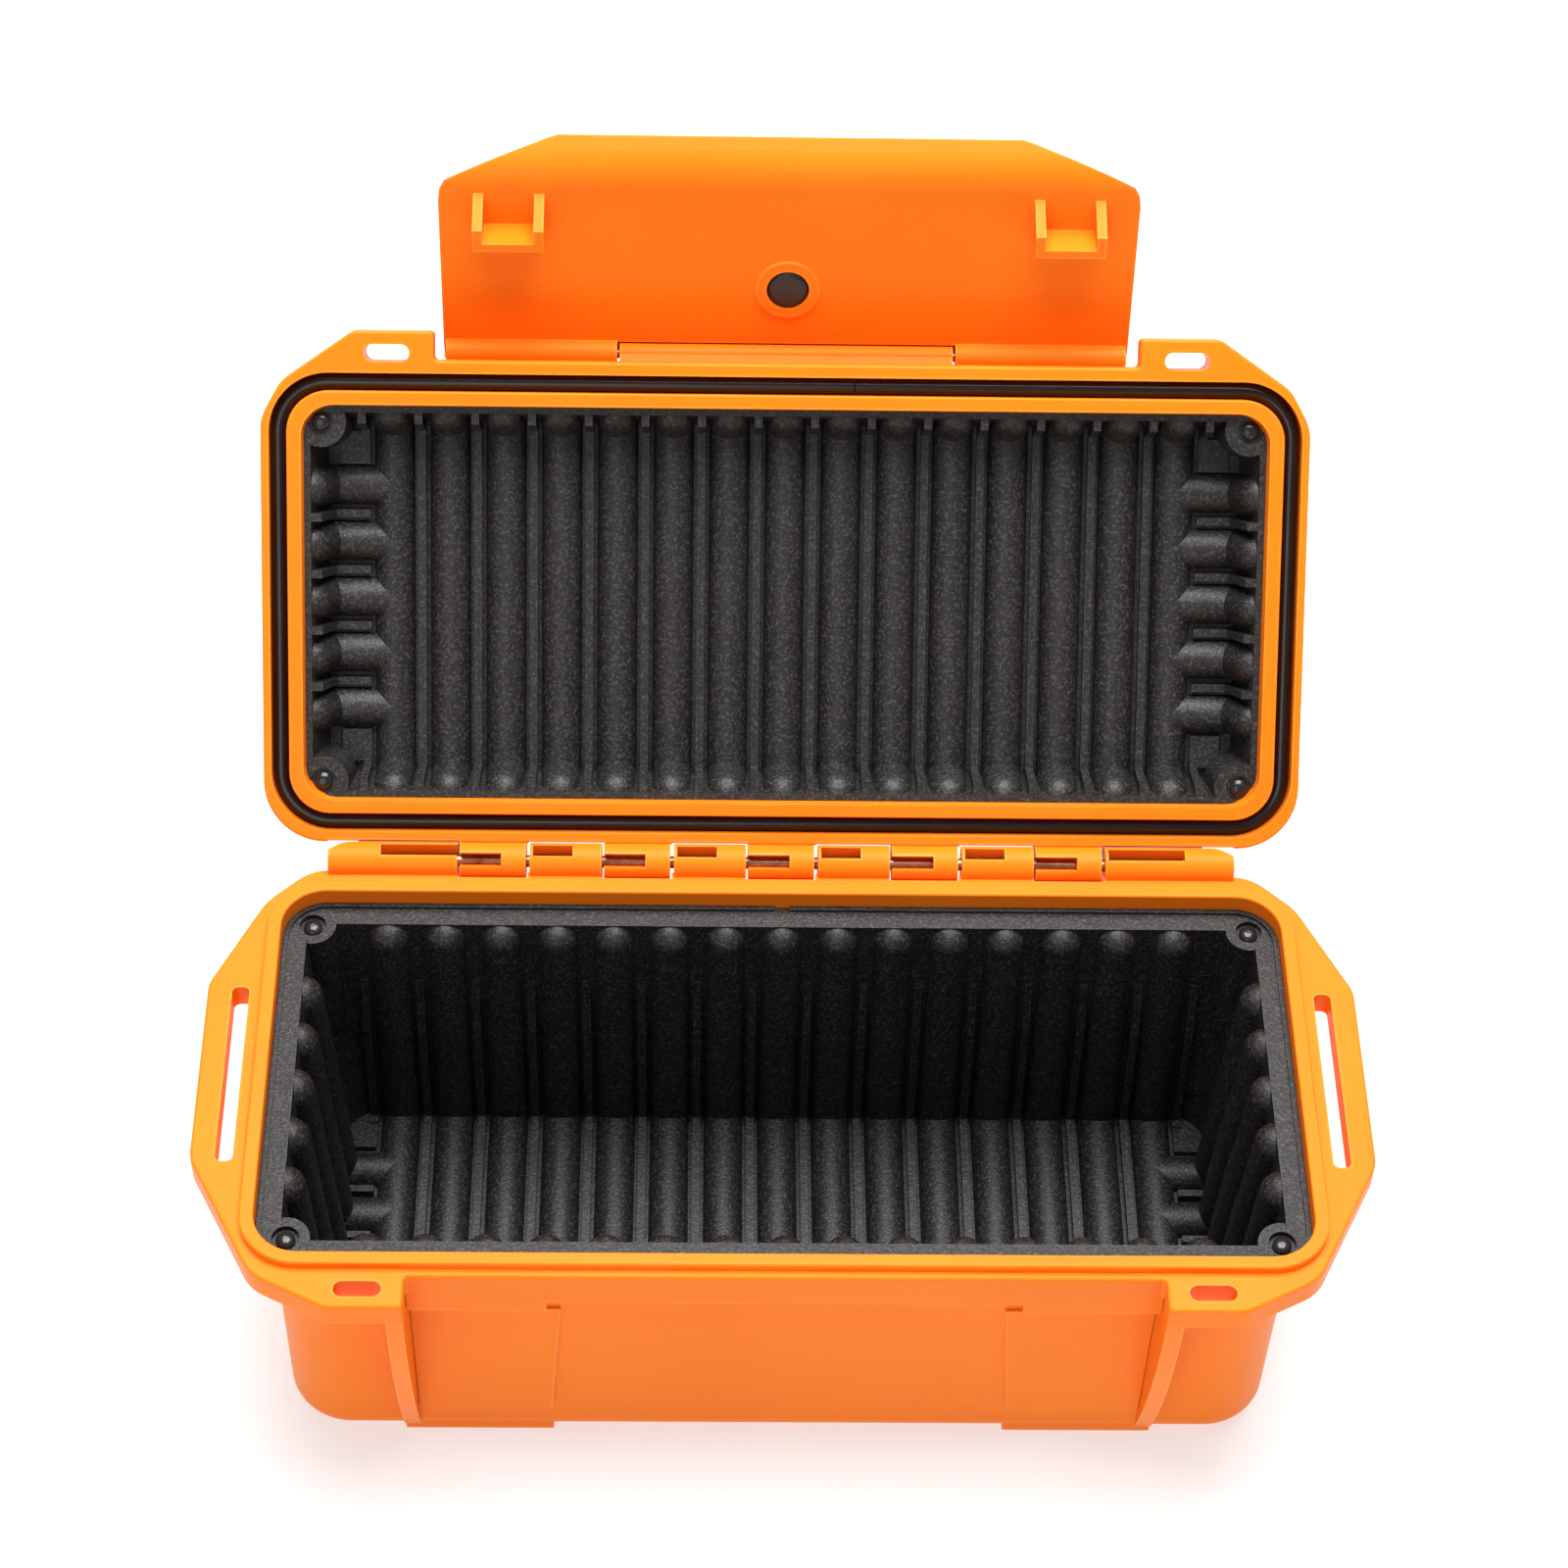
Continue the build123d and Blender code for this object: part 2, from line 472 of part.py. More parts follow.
# ---------------------------------------------------------------- liners
def ribbed_tray(
    mouth, floor, floor_r, floor_shift, height, strip_top, drift, posts, post_r, post_low, pads, grow, outer_r
):
    """A rubber tray, mouth up, its floor on Z = 0, with half-round bands and flat strips on floor and walls.

    mouth and floor are half sizes (x, y) of the inner faces, the outer ones at the mouth are larger by grow,
    and the floor's middle lies at Y = floor_shift.
    strip_top is how high the flat strips climb, and drift how far the end bands lean along Y on the way up.
    posts are the corner posts' (x, y), which narrow to a point below post_low, and pads the floor pads'
    (x, y, length, width).
    """
    mouth_x, mouth_y = mouth
    floor_x, floor_y = floor
    crest_z = height - 2.3 - BAND_R + 2.0
    strip_share = strip_top / height

    with BuildPart() as envelope:
        with BuildSketch(Plane.XY.offset(-LINER_WALL)):
            with Locations((0, floor_shift)):
                RectangleRounded(2 * (floor_x + LINER_WALL), 2 * (floor_y + LINER_WALL), outer_r)
        with BuildSketch(Plane.XY.offset(height)):
            RectangleRounded(2 * (mouth_x + grow), 2 * (mouth_y + grow), outer_r)
        loft()
    with BuildPart() as hollow:
        with BuildSketch(Plane.XY):
            with Locations((0, floor_shift)):
                RectangleRounded(2 * floor_x, 2 * floor_y, floor_r)
        with BuildSketch(Plane.XY.offset(height + 0.01)):
            RectangleRounded(2 * mouth_x, 2 * mouth_y, LINER_CORNER_R)
        loft()

    # one band across the tray, one short band at an end
    with BuildPart() as band:
        with BuildLine(Plane.YZ) as across:
            Polyline(
                (-mouth_y - BAND_SINK, crest_z),
                (floor_shift - floor_y - BAND_SINK, -BAND_SINK),
                (floor_shift + floor_y + BAND_SINK, -BAND_SINK),
                (mouth_y + BAND_SINK, crest_z),
            )
        with BuildSketch(Plane(origin=across.line @ 0, z_dir=across.line % 0)):
            Circle(BAND_R)
        sweep(transition=Transition.RIGHT)
        with Locations(across.line @ 0, across.line @ 1):
            Sphere(BAND_R)
    with BuildPart() as end_band:
        with BuildLine() as up_end:
            Polyline(
                (7 * BAND_PITCH, -drift, -BAND_SINK),
                (floor_x + BAND_SINK, -drift, -BAND_SINK),
                (mouth_x + BAND_SINK, 0, crest_z),
            )
        with BuildSketch(Plane(origin=up_end.line @ 0, z_dir=up_end.line % 0)):
            Circle(BAND_R)
        sweep(transition=Transition.RIGHT)
        with Locations(up_end.line @ 1):
            Sphere(BAND_R)

    # flat strips between the bands, half sunk into floor and walls
    with BuildPart() as strip:
        with BuildLine(Plane.YZ) as strip_line:
            strip_y = floor_y + (mouth_y - floor_y) * strip_share
            strip_shift = floor_shift * (1 - strip_share)
            Polyline(
                (strip_shift - strip_y - STRIP_DIVE[0], strip_top + STRIP_DIVE[1]),
                (strip_shift - strip_y, strip_top),
                (floor_shift - floor_y, 0),
                (floor_shift + floor_y, 0),
                (strip_shift + strip_y, strip_top),
                (strip_shift + strip_y + STRIP_DIVE[0], strip_top + STRIP_DIVE[1]),
            )
        with BuildSketch(Plane(origin=strip_line.line @ 0, x_dir=(1, 0, 0), z_dir=strip_line.line % 0)):
            Rectangle(STRIP_WIDTH, 2 * STRIP_RISE)
        sweep(transition=Transition.RIGHT)
    with BuildPart() as end_strip:
        with BuildLine() as end_strip_line:
            strip_x = floor_x + (mouth_x - floor_x) * strip_share
            strip_drift = -drift * (1 - strip_share)
            Polyline(
                (END_STRIP_X, -drift, 0),
                (floor_x, -drift, 0),
                (strip_x, strip_drift, strip_top),
                (strip_x + STRIP_DIVE[0], strip_drift, strip_top + STRIP_DIVE[1]),
            )
        with BuildSketch(
            Plane(origin=end_strip_line.line @ 0, x_dir=(0, 1, 0), z_dir=end_strip_line.line % 0)
        ):
            Rectangle(STRIP_WIDTH, 2 * STRIP_RISE)
        sweep(transition=Transition.RIGHT)

    # short strips that run down the long walls to the corner pads
    corner_strips = []
    for side in (-1, 1):
        with BuildPart() as corner_strip:
            with BuildLine(Plane.YZ) as corner_line:
                Polyline(
                    (strip_shift + side * (strip_y + STRIP_DIVE[0]), strip_top + STRIP_DIVE[1]),
                    (strip_shift + side * strip_y, strip_top),
                    (floor_shift + side * floor_y, 0),
                    (floor_shift + side * (floor_y - 3.5), 0),
                )
            with BuildSketch(
                Plane(origin=corner_line.line @ 0, x_dir=(1, 0, 0), z_dir=corner_line.line % 0)
            ):
                Rectangle(STRIP_WIDTH, 2 * STRIP_RISE)
            sweep(transition=Transition.RIGHT)
        corner_strips.append(corner_strip.part)

    with BuildPart() as relief:
        with Locations([(i * BAND_PITCH, 0, 0) for i in range(-7, 8)]):
            add(band.part)
        with Locations([((i + 0.5) * BAND_PITCH, 0, 0) for i in range(-7, 7)]):
            add(strip.part)
        with Locations((-7.5 * BAND_PITCH, 0, 0), (7.5 * BAND_PITCH, 0, 0)):
            for corner_strip_part in corner_strips:
                add(corner_strip_part)
        with Locations([(0, j * SIDE_PITCH, 0) for j in range(-2, 3)]):
            add(end_band.part)
            add(end_band.part.mirror(Plane.YZ))
        with Locations([(0, (j + 0.5) * SIDE_PITCH, 0) for j in range(-2, 2)]):
            add(end_strip.part)
            add(end_strip.part.mirror(Plane.YZ))
        for x, y, length, width in pads:
            with Locations((x, y, 0), (-x, y, 0)):
                Box(length, width, 3.0)
        for x, y in posts:
            with Locations((x, y, (height + post_low) / 2)):
                Cone(post_r + 1.1, post_r, height - post_low)
            with Locations((x, y, post_low - 4.5)):
                Cone(0.5, post_r + 1.1, 9.0)
        add(envelope.part, mode=Mode.INTERSECT)

    with BuildPart() as tray:
        add(envelope.part)
        add(hollow.part, mode=Mode.SUBTRACT)
        add(relief.part)
    return tray.part


base_tray = ribbed_tray(
    BASE_LINER_MOUTH,
    BASE_LINER_FLOOR,
    BASE_FLOOR_CORNER_R,
    BASE_FLOOR_SHIFT,
    BASE_LINER_HEIGHT,
    strip_top=28.0,
    drift=BASE_DRIFT,
    posts=BASE_POSTS,
    post_r=4.5,
    post_low=30.0,
    pads=[BASE_PAD],
    grow=1.0,
    outer_r=10.4,
)
with BuildPart() as base_liner:
    add(base_tray.moved(Location((0, 0, BASE_LINER_FLOOR_Z))))
    liner_top = BASE_LINER_FLOOR_Z + BASE_LINER_HEIGHT
    with BuildSketch(Plane.XY.offset(liner_top)):
        RectangleRounded(2 * (OPENING_X - 0.2), 2 * (OPENING_Y - 0.2), OPENING_R - 0.2)
        RectangleRounded(2 * BASE_LINER_MOUTH[0], 2 * BASE_LINER_MOUTH[1], LINER_CORNER_R, mode=Mode.SUBTRACT)
        with Locations(*BASE_POSTS):
            Circle(4.0)
    extrude(amount=-FLANGE_RUBBER)
    # thin upstanding lip round the flange, with a notch in the middle of the back
    with BuildSketch(Plane.XY.offset(liner_top)):
        RectangleRounded(2 * (OPENING_X - 0.2), 2 * (OPENING_Y - 0.2), OPENING_R - 0.2)
        RectangleRounded(
            2 * (OPENING_X - 1.1), 2 * (OPENING_Y - 1.1), OPENING_R - 1.1, mode=Mode.SUBTRACT
        )
        with Locations((0, OPENING_Y)):
            Rectangle(3, 4, mode=Mode.SUBTRACT)
    extrude(amount=0.6)
    with Locations(*[(x, y, liner_top) for x, y in BASE_POSTS]):
        CounterBoreHole(
            RIVET_SHANK_R + PRESS_GAP, COUNTERBORE_R, BASE_RIVET_SINK, depth=BASE_RIVET_SINK + 3.4
        )
write(base_liner, "base_liner")

lid_tray = ribbed_tray(
    LID_LINER_MOUTH,
    LID_LINER_FLOOR,
    LINER_CORNER_R,
    0,
    LID_LINER_HEIGHT,
    strip_top=LID_LINER_HEIGHT,
    drift=0,
    posts=LID_POSTS,
    post_r=4.9,
    post_low=-1.5,
    pads=LID_PADS,
    grow=1.2,
    outer_r=6.0,
)
with BuildPart() as lid_liner:
    add(lid_tray.rotate(Axis.X, 180).moved(Location((0, 0, LID_LINER_FLOOR_Z))))
    with Locations(*[Location((x, y, LID_LINER_EDGE_Z), (180, 0, 0)) for x, y in LID_POSTS]):
        CounterBoreHole(RIVET_SHANK_R + PRESS_GAP, COUNTERBORE_R, LID_RIVET_SINK, depth=LID_RIVET_SINK + 3.4)
lid_liner.part = swing_lid(lid_liner.part)
write(lid_liner, "lid_liner")

# ---------------------------------------------------------------- rivets that hold the liners
with BuildPart() as rivet:
    Cylinder(RIVET_SHANK_R, RIVET_SHANK, align=(Align.CENTER, Align.CENTER, Align.MAX))
    Cylinder(RIVET_HEAD_R, 0.5, align=(Align.CENTER, Align.CENTER, Align.MIN))
    with BuildSketch(Plane.XZ):
        with BuildLine():
            ThreePointArc((RIVET_HEAD_R, 0.5), (RIVET_HEAD_R * 0.7, 1.0), (0, 1.25))
            Polyline((0, 1.25), (0, 0.5), (RIVET_HEAD_R, 0.5))
        make_face()
    revolve(axis=Axis.Z)

CORNERS = ("back_right", "back_left", "front_right", "front_left")
for (x, y), corner in zip(BASE_POSTS, CORNERS):
    with BuildPart() as base_rivet:
        add(rivet.part.moved(Location((x, y, liner_top - BASE_RIVET_SINK))))
    write(base_rivet, f"base_rivet_{corner}")
for (x, y), corner in zip(LID_POSTS, CORNERS):
    with BuildPart() as lid_rivet:
        add(rivet.part.rotate(Axis.X, 180).moved(Location((x, y, LID_LINER_EDGE_Z + LID_RIVET_SINK))))
    lid_rivet.part = swing_lid(lid_rivet.part)
    write(lid_rivet, f"lid_rivet_{corner}")

# ---------------------------------------------------------------- hinge pins
with BuildPart() as lid_hinge_pin:
    with BuildSketch(Plane.YZ.offset(-PIN_HALF)):
        with Locations((HINGE_Y, PART_Z)):
            Circle(PIN_R)
    extrude(amount=2 * PIN_HALF)
write(lid_hinge_pin, "lid_hinge_pin")

for side, word in ((-1, "left"), (1, "right")):
    with BuildPart() as latch_pin:
        with BuildSketch(Plane.YZ.offset(side * (LUG_HALF - 10.5))):
            with Locations((LATCH_Y, LATCH_Z)):
                Circle(LATCH_PIN_R)
        extrude(amount=side * (FLAP_HALF - LUG_HALF + 10.0))
    latch_pin.part = swing_lid(latch_pin.part)
    write(latch_pin, f"latch_pin_{word}")

# ---------------------------------------------------------------- latch flap
FACE_Y = LATCH_Y - FLAP_FACE
with BuildPart() as latch_flap:
    # side profile: flat plate, then a lip bent outwards by 45 degrees
    bend_z = LATCH_Z - FLAP_BEND
    with BuildSketch(Plane.YZ.offset(-FLAP_HALF)):
        with BuildLine():
            face = Line((FACE_Y, LATCH_Z + 1.6), (FACE_Y, bend_z))
            bend = JernArc(face @ 1, face % 1, LIP_BEND_R, -45)
            lip = Line(bend @ 1, (bend @ 1) + (bend % 1) * LIP_STRAIGHT)
            end = Line(lip @ 1, (lip @ 1) + (lip % 1).rotate(Axis.Z, -90) * FLAP_THICK)
            back_lip = Line(end @ 1, (end @ 1) - (lip % 1) * LIP_STRAIGHT)
            back_bend = JernArc(back_lip @ 1, (lip % 1) * -1, LIP_BEND_R - FLAP_THICK, 45)
            back = Line(back_bend @ 1, (FACE_Y - FLAP_THICK, LATCH_Z + 1.6))
            Line(back @ 1, face @ 0)
        make_face()
    extrude(amount=2 * FLAP_HALF)

    # rib along the outer side of the hinge
    with BuildSketch(Plane.YZ.offset(-FLAP_HALF)):
        outer_y = FACE_Y - FLAP_THICK
        Polygon(
            (outer_y + 0.3, LATCH_Z - 7),
            (outer_y - HINGE_RIB, LATCH_Z - 5),
            (outer_y - HINGE_RIB, LATCH_Z + 0.9),
            (outer_y + 0.1, LATCH_Z + 1.6),
            (outer_y + 0.3, LATCH_Z + 1.6),
            align=None,
        )
    extrude(amount=2 * FLAP_HALF)

    # the lip's corners, cut at a slant in the lip's own plane
    lip_plane = Plane(origin=(0, FACE_Y, bend_z), x_dir=(1, 0, 0), z_dir=(0, 1, -1))
    with BuildSketch(lip_plane):
        Polygon(
            (FLAP_HALF + 2, -2.4),
            (FLAP_HALF, -2.4),
            (FLAP_HALF - 0.3, -0.6),
            (FLAP_HALF - 1.3, 0.8),
            (LIP_END_HALF + 1.5, LIP_END - 0.7),
            (LIP_END_HALF - 0.6, LIP_END),
            (LIP_END_HALF - 0.6, LIP_END + 6),
            (FLAP_HALF + 2, LIP_END + 6),
            align=None,
        )
        mirror(about=Plane.YZ)
    extrude(amount=9, both=True, mode=Mode.SUBTRACT)

    # barrels on both sides of the lid's lug
    for side in (-1, 1):
        with BuildSketch(Plane.YZ.offset(side * (LUG_HALF + 0.5))):
            with Locations((LATCH_Y, LATCH_Z)):
                Circle(LATCH_BARREL_R)
        extrude(amount=side * (FLAP_HALF - LUG_HALF - 1.0))
    with BuildSketch(Plane.YZ.offset(-LUG_HALF - 0.5)):
        with Locations((LATCH_Y, LATCH_Z)):
            Circle(LUG_R + 0.4)
    extrude(amount=2 * LUG_HALF + 1, mode=Mode.SUBTRACT)
    with BuildSketch(Plane.YZ.offset(-FLAP_HALF - 1)):
        with Locations((LATCH_Y, LATCH_Z)):
            Circle(LATCH_PIN_R + RUNNING_GAP)
    extrude(amount=2 * FLAP_HALF + 2, mode=Mode.SUBTRACT)

    # two hooks: cheeks with a ledge between them
    seat_z = LATCH_Z - HOOK_SEAT
    ledge_z = seat_z - LEDGE_THICK
    tip_y = FACE_Y + FLAP_FACE + HOOK_DEPTH
    for centre in (-HOOK_X, HOOK_X):
        for cheek_x in (centre - HOOK_WIDTH / 2, centre + HOOK_WIDTH / 2 - HOOK_CHEEK):
            with BuildSketch(Plane.YZ.offset(cheek_x)):
                Polygon(
                    (FACE_Y - 0.5, seat_z),
                    (tip_y, seat_z),
                    (tip_y, seat_z - 4.6),
                    (FACE_Y - 0.5, seat_z - 8.6),
                    align=None,
                )
            extrude(amount=HOOK_CHEEK)
        with BuildSketch(Plane.YZ.offset(centre - HOOK_WIDTH / 2 + 0.5)):
            Polygon(
                (FACE_Y - 0.5, seat_z), (tip_y, seat_z), (tip_y, ledge_z), (FACE_Y - 0.5, ledge_z), align=None
            )
        extrude(amount=HOOK_WIDTH - 1)

    # ring boss with a blind seat for the rubber plug
    with BuildSketch(Plane.XZ.offset(-FACE_Y + 0.5)):
        with Locations((0, LATCH_Z - PLUG_AT)):
            Circle(BOSS_R)
    extrude(amount=-BOSS_RISE - 0.5)
    with BuildSketch(Plane.XZ.offset(-FACE_Y - BOSS_RISE)):
        with Locations((0, LATCH_Z - PLUG_AT)):
            Circle(PLUG_R + 0.05)
    extrude(amount=BOSS_RISE + 1.2, mode=Mode.SUBTRACT)
latch_flap.part = swing_latch(latch_flap.part)
write(latch_flap, "latch_flap")

with BuildPart() as latch_plug:
    with BuildSketch(Plane.XZ.offset(-FACE_Y + 1.15)):
        with Locations((0, LATCH_Z - PLUG_AT)):
            Circle(PLUG_R)
    extrude(amount=-(BOSS_RISE + 1.15 + 0.2))
    fillet(latch_plug.edges().group_by(Axis.Y)[-1], 1.2)
latch_plug.part = swing_latch(latch_plug.part)
write(latch_plug, "latch_plug")
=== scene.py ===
"""Looks of the open first aid dry box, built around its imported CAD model."""
import math

import bpy
from mathutils import Matrix, Vector

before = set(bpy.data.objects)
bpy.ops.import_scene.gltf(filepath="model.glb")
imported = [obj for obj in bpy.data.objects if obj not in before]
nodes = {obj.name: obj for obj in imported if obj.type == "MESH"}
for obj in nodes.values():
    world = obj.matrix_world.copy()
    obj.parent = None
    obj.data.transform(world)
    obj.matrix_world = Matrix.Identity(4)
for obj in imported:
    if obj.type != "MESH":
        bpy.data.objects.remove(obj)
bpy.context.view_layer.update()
MM = 0.001

# ---------------------------------------------------------------- camera
CAMERA_AT = Vector((-17.14, -424.58, 649.99)) * MM
CAMERA_PITCH, CAMERA_YAW, CAMERA_ROLL = (math.radians(a) for a in (49.69, 2.05, 2.04))
CAMERA_LENS, SENSOR = 87.55, 36.0


def add_camera():
    """A camera on the object's latch side, looking down at it with a slight roll."""
    forward = Vector((
        math.sin(CAMERA_YAW) * math.cos(CAMERA_PITCH),
        math.cos(CAMERA_YAW) * math.cos(CAMERA_PITCH),
        -math.sin(CAMERA_PITCH),
    ))
    level = Vector((math.cos(CAMERA_YAW), -math.sin(CAMERA_YAW), 0))
    upright = level.cross(forward)
    right = math.cos(CAMERA_ROLL) * level + math.sin(CAMERA_ROLL) * upright
    up = math.cos(CAMERA_ROLL) * upright - math.sin(CAMERA_ROLL) * level
    turn = Matrix((right, up, -forward)).transposed()
    data = bpy.data.cameras.new("camera")
    data.lens, data.sensor_width = CAMERA_LENS, SENSOR
    data.clip_start, data.clip_end = 0.01, 50
    camera = bpy.data.objects.new("camera", data)
    bpy.context.scene.collection.objects.link(camera)
    camera.matrix_world = Matrix.Translation(CAMERA_AT) @ turn.to_4x4()
    bpy.context.scene.camera = camera


# ---------------------------------------------------------------- light and floor
WORLD_LIGHT = 0.28
OVERHEAD_AT, OVERHEAD_AIM, OVERHEAD_SIZE, OVERHEAD_WATTS = (0.05, 0.28, 1.25), (0, 0, 0.05), 1.0, 34
FILL_AT, FILL_AIM, FILL_SIZE, FILL_WATTS = (-0.4, -1.2, 0.75), (0, 0, 0.08), 0.9, 4.2
FLOOR_SIZE, FLOOR_COLOUR, FLOOR_GLOW = 12, (0.50, 0.50, 0.50, 1), 0.56
WHITE = (1, 1, 1, 1)


def add_area(name, at, aim, size, watts):
    """A square area light at one point, facing another."""
    data = bpy.data.lights.new(name, "AREA")
    data.shape, data.size, data.energy = "SQUARE", size, watts
    light = bpy.data.objects.new(name, data)
    bpy.context.scene.collection.objects.link(light)
    light.location = at
    light.rotation_euler = (Vector(aim) - Vector(at)).to_track_quat("-Z", "Y").to_euler()


def add_stage():
    """Pale surroundings, a large soft box above and behind, a weak one in front, and a pale floor."""
    scene = bpy.context.scene
    world = bpy.data.worlds.new("surroundings")
    world.use_nodes = True
    background = world.node_tree.nodes["Background"]
    background.inputs["Color"].default_value = WHITE
    background.inputs["Strength"].default_value = WORLD_LIGHT
    scene.world = world
    scene.view_settings.view_transform = "Standard"
    add_area("overhead", OVERHEAD_AT, OVERHEAD_AIM, OVERHEAD_SIZE, OVERHEAD_WATTS)
    add_area("front_fill", FILL_AT, FILL_AIM, FILL_SIZE, FILL_WATTS)
    bpy.ops.mesh.primitive_plane_add(size=FLOOR_SIZE)
    floor = bpy.context.object
    floor.name = "floor"
    material, _, shader = new_material("floor")
    shader.inputs["Base Color"].default_value = FLOOR_COLOUR
    shader.inputs["Roughness"].default_value = 0.9
    shader.inputs["Specular IOR Level"].default_value = 0.1
    shader.inputs["Emission Color"].default_value = WHITE
    shader.inputs["Emission Strength"].default_value = FLOOR_GLOW
    floor.data.materials.append(material)


# ---------------------------------------------------------------- material nodes
CLOUD_STOPS = (0.3, 0.7)
EDGE_SAMPLES, EDGE_TURN = 4, (0.80, 0.985)  # the dot products at which an edge is fully marked and not marked: wear, and on the orange plastic also a painted highlight


def noise(tree, scale, detail, roughness=0.5, stretch=(1, 1, 1)):
    """Noise in the object's own space; a stretch below 1 draws it out along that axis."""
    node = tree.nodes.new("ShaderNodeTexNoise")
    coordinates = tree.nodes.new("ShaderNodeTexCoord")
    mapping = tree.nodes.new("ShaderNodeMapping")
    mapping.inputs["Scale"].default_value = stretch
    tree.links.new(coordinates.outputs["Object"], mapping.inputs["Vector"])
    tree.links.new(mapping.outputs["Vector"], node.inputs["Vector"])
    node.inputs["Scale"].default_value = scale
    node.inputs["Detail"].default_value = detail
    node.inputs["Roughness"].default_value = roughness
    return node.outputs["Fac"]


def pebbles(tree, scale):
    """Distance to the nearest cell centre: the rounded pebbles of a leather-like grain."""
    node = tree.nodes.new("ShaderNodeTexVoronoi")
    coordinates = tree.nodes.new("ShaderNodeTexCoord")
    tree.links.new(coordinates.outputs["Object"], node.inputs["Vector"])
    node.inputs["Scale"].default_value = scale
    return node.outputs["Distance"]


def spread(tree, source, low, high, from_low=0.0, from_high=1.0):
    """Maps from_low..from_high onto low..high, clamped."""
    node = tree.nodes.new("ShaderNodeMapRange")
    tree.links.new(source, node.inputs["Value"])
    node.inputs["From Min"].default_value = from_low
    node.inputs["From Max"].default_value = from_high
    node.inputs["To Min"].default_value = low
    node.inputs["To Max"].default_value = high
    return node.outputs["Result"]


def math_node(tree, operation, first, second):
    node = tree.nodes.new("ShaderNodeMath")
    node.operation = operation
    for socket, value in zip(node.inputs, (first, second)):
        if isinstance(value, (int, float)):
            socket.default_value = value
        else:
            tree.links.new(value, socket)
    return node.outputs["Value"]


def clouded(tree, source, dark, light):
    """Two colours run together by a noise."""
    node = tree.nodes.new("ShaderNodeValToRGB")
    tree.links.new(source, node.inputs["Fac"])
    for element, position, colour in zip(node.color_ramp.elements, CLOUD_STOPS, (dark, light)):
        element.position = position
        element.color = (*colour, 1)
    return node.outputs["Color"]


def blend(tree, share, first, second):
    """A colour between two others; either may be a plain colour."""
    node = tree.nodes.new("ShaderNodeMix")
    node.data_type = "RGBA"
    tree.links.new(share, node.inputs["Factor"])
    for socket, value in ((node.inputs["A"], first), (node.inputs["B"], second)):
        if isinstance(value, tuple):
            socket.default_value = (*value, 1)
        else:
            tree.links.new(value, socket)
    return node.outputs["Result"]


def edge_mask(tree, radius, breakup):
    """1 along sharp edges and 0 on flats, broken up by a noise."""
    bevel = tree.nodes.new("ShaderNodeBevel")
    bevel.samples = EDGE_SAMPLES
    bevel.inputs["Radius"].default_value = radius
    geometry = tree.nodes.new("ShaderNodeNewGeometry")
    dot = tree.nodes.new("ShaderNodeVectorMath")
    dot.operation = "DOT_PRODUCT"
    tree.links.new(bevel.outputs["Normal"], dot.inputs[0])
    tree.links.new(geometry.outputs["Normal"], dot.inputs[1])
    mask = spread(tree, dot.outputs["Value"], 1.0, 0.0, *EDGE_TURN)
    return math_node(tree, "MULTIPLY", mask, breakup)


def bump(tree, shader, layers):
    """Bump nodes in a chain, one for each (height, strength, distance in metres)."""
    normal = None
    for height, strength, distance in layers:
        node = tree.nodes.new("ShaderNodeBump")
        node.inputs["Strength"].default_value = strength
        node.inputs["Distance"].default_value = distance
        tree.links.new(height, node.inputs["Height"])
        if normal:
            tree.links.new(normal, node.inputs["Normal"])
        normal = node.outputs["Normal"]
    tree.links.new(normal, shader.inputs["Normal"])


def new_material(name):
    """A node material with its tree and main shader."""
    material = bpy.data.materials.new(name)
    material.use_nodes = True
    return material, material.node_tree, material.node_tree.nodes["Principled BSDF"]


# ---------------------------------------------------------------- materials
ORANGE_DEEP, ORANGE_LIGHT = (0.92, 0.186, 0.0050), (0.96, 0.210, 0.0080)
# The paler orange for the edges is partly wear and partly a painted highlight along the edges.
ORANGE_STREAK, ORANGE_WORN_AND_HIGHLIT = (0.97, 0.232, 0.012), (0.99, 0.37, 0.05)
LINER_DEEP, LINER_LIGHT = (0.0080, 0.0070, 0.0064), (0.0125, 0.0110, 0.0102)
LINER_DUST = (0.030, 0.027, 0.025)
LINER_SPECKLE, LINER_WORN, LINER_SPECULAR = (0.070, 0.066, 0.062), (0.050, 0.046, 0.043), 0.42
GLOSSY_WORN = (0.05, 0.047, 0.045)
# Steel colours: brownish all over, darker brown in blotches.
STEEL_DEEP, STEEL_LIGHT, STEEL_BLOTCH = (0.26, 0.13, 0.08), (0.50, 0.33, 0.24), (0.16, 0.055, 0.030)


